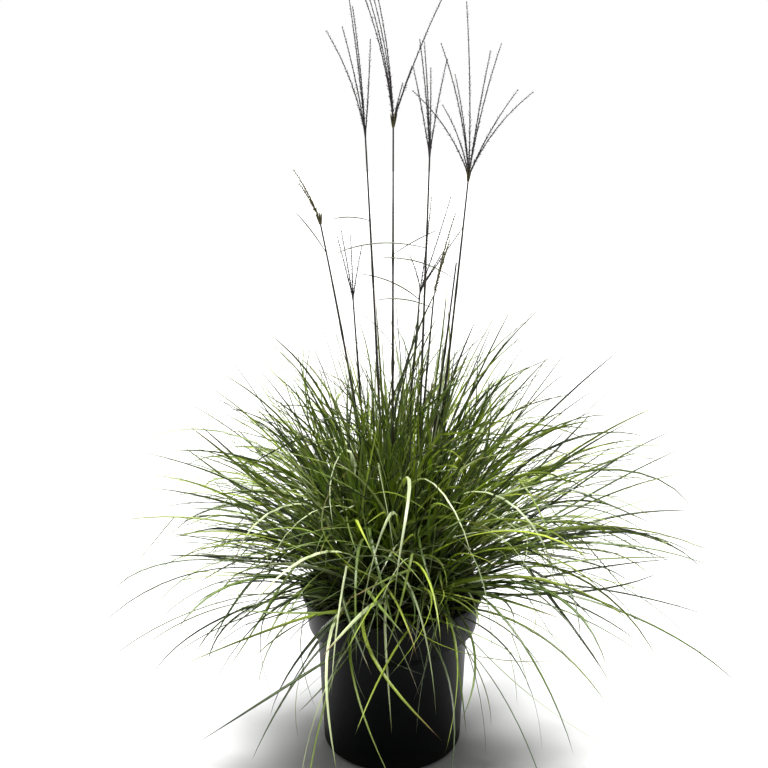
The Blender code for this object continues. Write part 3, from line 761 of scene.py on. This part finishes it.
def make_single_blades(name, blades, seed, material, template):
    """One piece that holds the blades of a list, which stand out from the tufts."""
    rng = random.Random(seed)
    bm = bmesh.new()
    bm.loops.layers.uv.new("OFBake")
    for heading, radius, start, tip, bend, length, width, kind in blades:
        turn = math.radians(heading)
        root_turn = turn + rng.gauss(0.0, 0.5)
        root_height = CROWN_TOP - 0.01
        root = Vector((radius * math.cos(root_turn), radius * math.sin(root_turn), root_height))
        drift = rng.gauss(0.0, 0.5)
        points = path_within_limit(root, turn, start, tip, bend, length, drift, None)
        side = Vector((-math.sin(turn), math.cos(turn), 0.0))
        twist = (rng.gauss(0.0, 0.25), rng.gauss(0.0, 0.9))
        tint = (kind, rng.randrange(TINT_COLUMNS))
        lay_blade(bm, template, points, width, side, twist, tint)
    finish_piece(bm, name, material, [])


# ---------------------------------------------------------------- culms, flag leaves, panicles
def culm_point(culm, share):
    """The point at this share of the culm's height."""
    foot_x, foot_y, right, back, head, lateness = culm
    reach = (head - CROWN_TOP) * share**lateness
    return Vector(
        (
            foot_x + reach * math.tan(math.radians(right)),
            foot_y + reach * math.tan(math.radians(back)),
            CROWN_TOP + (head - CROWN_TOP) * share,
        )
    )


def culm_radius(share, joints):
    """A culm tapers to its head, and is swollen at each joint and sheathed just above it."""
    radius = between(CULM_FOOT_RADIUS, CULM_HEAD_RADIUS, share)
    for joint in joints:
        radius *= 1.0 + 0.35 * math.exp(-(((share - joint) * 60.0) ** 2))
        if 0.0 < share - joint < 0.12:
            radius *= 1.12
    return radius


def make_culms(material, template):
    """The tall flowering stems, one piece each."""
    rng = random.Random(7)
    for number, culm in enumerate(CULMS, start=1):
        points = [culm_point(culm, i / CULM_STEPS) for i in range(CULM_STEPS + 1)]
        frames = frames_along(points, Vector((1.0, 0.0, 0.0)))
        joints = [(k + rng.uniform(0.2, 0.5)) / (CULM_JOINTS + 0.5) for k in range(CULM_JOINTS)]
        bm = bmesh.new()
        bm.loops.layers.uv.new("OFBake")
        for vert in append_template(bm, template):
            x, y, share = vert.co
            i = round(share * CULM_STEPS)
            _, side, up = frames[i]
            vert.co = points[i] + culm_radius(share, joints) * (x * side + y * up)
        finish_piece(bm, f"culm_with_joints_{number}", material, [f"culm_{number:02d}"])


def make_flag_leaves(material, template):
    """The single leaves that arch off the culms, one piece each."""
    rng = random.Random(11)
    for number, flag_leaf in enumerate(FLAG_LEAVES, start=1):
        bearer, height, heading, start_lean, tip_lean, lateness, length = flag_leaf
        culm = CULMS[bearer - 1]
        turn = math.radians(heading)
        foot = culm_point(culm, (height - CROWN_TOP) / (culm[4] - CROWN_TOP))
        root = foot + 0.5 * CULM_HEAD_RADIUS * Vector((math.cos(turn), math.sin(turn), 0.0))
        points = arching_path(root, turn, start_lean, tip_lean, lateness, length)
        bm = bmesh.new()
        bm.loops.layers.uv.new("OFBake")
        side = Vector((-math.sin(turn), math.cos(turn), 0.0))
        tint = (DARK_PAINTED_SHADE, rng.randrange(TINT_COLUMNS))
        lay_blade(bm, template, points, FLAG_WIDTH, side, (0.6, 0.4), tint)
        name = f"flag_leaf_blade_{number}"
        finish_piece(bm, name, material, [f"flag_leaf_{number:02d}"])


def raceme_points(start, raceme):
    """A raceme's path: it leaves the panicle's foot at its lean, and arches on towards its tip."""
    right, back, length, arch = raceme
    lean = Vector((math.tan(math.radians(right)), math.tan(math.radians(back)), 1.0)).normalized()
    sideways = 1.0 if right >= 0 else -1.0
    points = [start]
    step = length / RACEME_STEPS
    for i in range(RACEME_STEPS):
        share = (i + 0.5) / RACEME_STEPS
        turn = Matrix.Rotation(math.radians(sideways * arch * share), 3, "Y")
        points.append(points[-1] + step * (turn @ lean))
    return points


def spikelet_template():
    """A closed spindle along +Z from 0 to 1 with a radius of 1, drawn out at its tip."""
    bm = bmesh.new()
    bmesh.ops.create_uvsphere(bm, u_segments=5, v_segments=4, radius=1.0)
    for vert in bm.verts:
        height = 0.5 + 0.5 * vert.co.z
        pinch = 1.0 if height < 0.5 else 0.75
        vert.co = Vector((vert.co.x * pinch, vert.co.y * pinch, height))
    mesh = bpy.data.meshes.new("spikelet")
    bm.to_mesh(mesh)
    bm.free()
    return mesh


def add_spikelet(bm, template, place, outward, along, length, radius, spread):
    """Set a spikelet on its raceme, leaning outward from it by a small angle."""
    axis = (along * math.cos(spread) + outward * math.sin(spread)).normalized()
    side = axis.cross(outward).normalized()
    front = side.cross(axis)
    for vert in append_template(bm, template):
        x, y, z = vert.co
        vert.co = place + radius * (x * side + 0.75 * y * front) + length * z * axis


def add_hub_sheaths(bm, spikelet, head, along, rng):
    """Short pointed sheaths round the foot of a panicle, where its racemes come out."""
    frames = frames_along([head, head + along], Vector((1.0, 0.0, 0.0)))
    _, side, up = frames[0]
    for k in range(HUB_SHEATH_COUNT):
        turn = 2.0 * math.pi * k / HUB_SHEATH_COUNT + rng.uniform(-0.4, 0.4)
        outward = math.cos(turn) * side + math.sin(turn) * up
        foot = head - 0.006 * along + 0.0006 * outward
        length = rng.uniform(*HUB_SHEATH_LENGTHS)
        spread = rng.uniform(0.08, 0.24)
        add_spikelet(bm, spikelet, foot, outward, along, length, HUB_SHEATH_RADIUS, spread)


def add_raceme(bm, rod, spikelet, points, length, plumpness, rng):
    """One raceme: its thin stalk along a path, with spikelets in pairs from foot to tip."""
    frames = frames_along(points, Vector((1.0, 0.0, 0.0)))
    for vert in append_template(bm, rod):
        x, y, share = vert.co
        i = round(share * RACEME_STEPS)
        _, side, up = frames[i]
        radius = between(RACEME_FOOT_RADIUS, RACEME_TIP_RADIUS, share)
        vert.co = points[i] + radius * (x * side + y * up)
    pairs = int(length / SPIKELET_SPACING)
    for k in range(pairs):
        share = 0.06 + 0.93 * (k + 0.5) / pairs
        where = share * RACEME_STEPS
        i = min(int(where), RACEME_STEPS - 1)
        place = points[i].lerp(points[i + 1], where - i)
        direction, side, up = frames[i]
        for which in range(2):
            turn = math.pi * (k + which) + rng.uniform(-0.7, 0.7)
            outward = math.cos(turn) * side + math.sin(turn) * up
            size = rng.uniform(*SPIKELET_LENGTHS) * (1.0 - 0.35 * share)
            thick = plumpness * SPIKELET_RADIUS * rng.uniform(0.75, 1.2) * (1.0 - 0.4 * share)
            spread = rng.choice(SPIKELET_SPREADS)
            foot = place + 0.0003 * outward
            add_spikelet(bm, spikelet, foot, outward, direction, size, thick, spread)


def make_panicles(materials, rod, spikelet):
    """The flower heads, one piece each, and one piece for the sheaths at their feet."""
    rng = random.Random(5)
    hubs = bmesh.new()
    for number, (bearer, racemes) in enumerate(PANICLES, start=1):
        culm = CULMS[bearer - 1]
        head = culm_point(culm, 1.0)
        along = (head - culm_point(culm, 0.95)).normalized()
        is_golden = bearer in GOLDEN_PANICLES
        plumpness = GOLDEN_SWELL if is_golden else 1.0
        bm = bmesh.new()
        for raceme in racemes:
            points = raceme_points(head + along * 0.004, raceme)
            points[0] = head - along * 0.002
            add_raceme(bm, rod, spikelet, points, raceme[2], plumpness, rng)
        if bearer in HUB_SHEATHS:
            add_hub_sheaths(hubs, spikelet, head, along, rng)
        material = materials[is_golden]
        name = f"panicle_spikelets_{number}"
        finish_piece(bm, name, material, [f"panicle_{number:02d}"])
    finish_piece(hubs, "panicle_hub_sheaths", materials[True], [])


# ---------------------------------------------------------------- crown
def make_crown(material, rod):
    """Short tiller sheaths standing close together over the whole crown."""
    rng = random.Random(3)
    bm = bmesh.new()
    bm.loops.layers.uv.new("OFBake")
    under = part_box("crown")[0].z
    golden_turn = math.pi * (3.0 - math.sqrt(5.0))
    for k in range(TILLERS):
        reach = (CROWN_RADIUS - 0.006) * math.sqrt((k + 0.5) / TILLERS)
        turn = k * golden_turn
        foot = Vector((reach * math.cos(turn), reach * math.sin(turn), under))
        lean = 0.10 + 0.75 * (reach / CROWN_RADIUS) ** 2
        height = rng.uniform(0.6, 1.0) * (CROWN_TOP - under)
        outward = Vector((math.cos(turn), math.sin(turn), 0.0))
        head = foot + 0.25 * height * math.tan(lean) * outward
        head.z += height
        thick = rng.uniform(*TILLER_RADII)
        for vert in append_template(bm, rod):
            x, y, share = vert.co
            radius = thick * (1.0 - 0.45 * share)
            spot = foot.lerp(head, share)
            vert.co = spot + radius * Vector((x, y, 0.0))
    finish_piece(bm, "tiller_bases", material, ["crown"])


# ---------------------------------------------------------------- pot
def pot_profile():
    """Outer side from the base up, over the rolled rim, and down the inner side."""
    foot = POT_TOP - COLLAR_DEPTH
    shoulder = foot - SHOULDER_DEPTH
    under_lip = POT_TOP - LIP_DEPTH
    collar_top = RIM_RADIUS - LIP_WIDTH
    return [
        (0.0, 0.0),
        (BASE_RADIUS - 0.006, 0.0),
        (BASE_RADIUS, 0.006),
        (BODY_TOP_RADIUS, shoulder),
        (COLLAR_FOOT_RADIUS, foot),
        (collar_top, under_lip),
        (RIM_RADIUS, under_lip),
        (RIM_RADIUS, POT_TOP),
        (collar_top - WALL, POT_TOP),
        (COLLAR_FOOT_RADIUS - WALL, foot + WALL),
        (BODY_TOP_RADIUS - WALL, shoulder),
        (BASE_RADIUS - WALL, BASE_THICKNESS),
        (0.0, BASE_THICKNESS),
    ]


def cut_drain_holes(pot):
    """Cut a ring of round holes through the base of the pot."""
    bm = bmesh.new()
    for k in range(DRAIN_HOLES):
        turn = 2.0 * math.pi * (k + 0.5) / DRAIN_HOLES
        middle = DRAIN_CIRCLE_RADIUS * Vector((math.cos(turn), math.sin(turn), 0.0))
        bmesh.ops.create_cone(
            bm,
            cap_ends=True,
            segments=DRAIN_SEGMENTS,
            radius1=DRAIN_HOLE_RADIUS,
            radius2=DRAIN_HOLE_RADIUS,
            depth=4.0 * BASE_THICKNESS,
            matrix=Matrix.Translation(middle),
        )
    drills_mesh = bpy.data.meshes.new("drain drills")
    bm.to_mesh(drills_mesh)
    bm.free()
    drills = bpy.data.objects.new("drain drills", drills_mesh)
    bpy.context.scene.collection.objects.link(drills)
    cut = pot.modifiers.new("drain holes", "BOOLEAN")
    cut.operation = "DIFFERENCE"
    cut.solver = "EXACT"
    cut.object = drills
    bpy.context.view_layer.update()
    graph = bpy.context.evaluated_depsgraph_get()
    drilled = bpy.data.meshes.new_from_object(pot.evaluated_get(graph))
    pot.modifiers.clear()
    pot.data = drilled
    bpy.data.objects.remove(drills)


def make_pot(material):
    """The moulded container, turned from its profile, with its edges rounded."""
    bm = bmesh.new()
    verts = [bm.verts.new((radius, 0.0, height)) for radius, height in pot_profile()]
    edges = [bm.edges.new(pair) for pair in zip(verts, verts[1:])]
    bmesh.ops.spin(
        bm,
        geom=verts + edges,
        cent=(0.0, 0.0, 0.0),
        axis=(0.0, 0.0, 1.0),
        angle=2.0 * math.pi,
        steps=POT_SEGMENTS,
        use_merge=True,
    )
    bmesh.ops.remove_doubles(bm, verts=bm.verts[:], dist=1e-5)
    bmesh.ops.recalc_face_normals(bm, faces=bm.faces[:])
    rounded = [
        e
        for e in bm.edges
        if abs(e.verts[0].co.z - e.verts[1].co.z) < 1e-6
        and abs(math.hypot(*e.verts[0].co.xy) - math.hypot(*e.verts[1].co.xy)) < 1e-6
        and e.verts[0].co.xy.length > 0.05
    ]
    bmesh.ops.bevel(
        bm,
        geom=rounded,
        offset=EDGE_ROUNDING,
        offset_type="OFFSET",
        segments=EDGE_SEGMENTS,
        profile=0.5,
        affect="EDGES",
        material=-1,
    )
    pot = finish_piece(bm, "nursery_pot", material, ["pot"], smooth_angle=40)
    cut_drain_holes(pot)


# ---------------------------------------------------------------- studio
def make_backdrop_world():
    """Plain white behind the object; on the object, light that is full above and fades low down."""
    world = bpy.data.worlds.new("studio dome")
    world.use_nodes = True
    tree = world.node_tree
    background = tree.nodes["Background"]
    place = add_node(tree, "ShaderNodeTexCoord").outputs["Generated"]
    split = add_node(tree, "ShaderNodeSeparateXYZ", {0: place})
    dome = remap(tree, split.outputs[2], -0.15, 0.85, DOME_LOW, DOME_HIGH)
    from_back = remap(tree, split.outputs[1], -1.0, 1.0, 1.0 - DOME_FROM_BACK, 1.0 + DOME_FROM_BACK)
    strength = math_node(tree, "MULTIPLY", dome, from_back)
    seen = add_node(tree, "ShaderNodeLightPath").outputs["Is Camera Ray"]
    shown = add_node(tree, "ShaderNodeMix", {0: seen, 2: strength, 3: 1.0}, data_type="FLOAT")
    tree.links.new(shown.outputs[0], background.inputs["Strength"])
    background.inputs["Color"].default_value = (1.0, 1.0, 1.0, 1.0)
    return world


def make_studio():
    """The light, the plain backdrop and the floor."""
    scene = bpy.context.scene
    scene.view_settings.view_transform = "Standard"
    scene.world = make_backdrop_world()

    sun = bpy.data.lights.new("key light", "SUN")
    sun.energy = SUN_STRENGTH
    sun.angle = math.radians(SUN_ANGLE)
    key = bpy.data.objects.new("key light", sun)
    key.rotation_euler = Vector(SUN_FROM).to_track_quat("Z", "Y").to_euler()
    scene.collection.objects.link(key)

    bm = bmesh.new()
    bmesh.ops.create_circle(bm, cap_ends=True, segments=64, radius=0.5 * FLOOR_SIZE)
    mesh = bpy.data.meshes.new("studio_floor")
    bm.to_mesh(mesh)
    bm.free()
    mesh.materials.append(floor_material())
    floor = bpy.data.objects.new("studio_floor", mesh)
    floor.location.z = -0.0004
    floor.visible_diffuse = False  # black below, so that the pot and the lowest blades stay deep
    scene.collection.objects.link(floor)


def make_camera():
    camera_data = bpy.data.cameras.new("camera")
    camera_data.lens = CAMERA_LENS
    camera_data.sensor_width = SENSOR_WIDTH
    camera = bpy.data.objects.new("camera", camera_data)
    camera.location = CAMERA_PLACE
    camera.rotation_euler = (math.radians(90.0 - CAMERA_DIP), 0.0, 0.0)
    bpy.context.scene.collection.objects.link(camera)
    bpy.context.scene.camera = camera


def make_plant_parts():
    """The crown, the culms, the panicles and all the leaves."""
    blade = bar_template("blade", 4, BLADE_STEPS, pointed=True)
    rod = bar_template("rod", 5, 12, pointed=False)
    stub = bar_template("stub", 6, 2, pointed=False)
    culm_rod = bar_template("culm rod", 8, CULM_STEPS, pointed=False)
    leaf = leaf_material()
    make_leaf_tufts(leaf, blade)
    make_single_blades("long_blades", LONG_BLADES, 17, leaf, blade)
    make_single_blades("bent_over_blades", BENT_BLADES, 31, leaf, blade)
    make_flag_leaves(leaf, blade)
    make_culms(straw_material("culm skin", (0.020, 0.014, 0.016), (0.075, 0.062, 0.040)), culm_rod)
    purple = straw_material("panicle purple", (0.014, 0.011, 0.013), (0.060, 0.048, 0.048), 900.0)
    golden = straw_material("panicle golden", (0.080, 0.074, 0.026), (0.300, 0.270, 0.115), 900.0)
    make_panicles((purple, golden), rod, spikelet_template())
    make_crown(straw_material("tiller sheath", (0.030, 0.030, 0.012), (0.170, 0.150, 0.060)), stub)


def finish_growing_medium():
    """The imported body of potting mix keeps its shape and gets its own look."""
    medium = bpy.data.objects["growing_medium"]
    medium.data.materials.clear()
    medium.data.materials.append(medium_material())


make_camera()
make_studio()
make_plant_parts()
make_pot(pot_material())
finish_growing_medium()
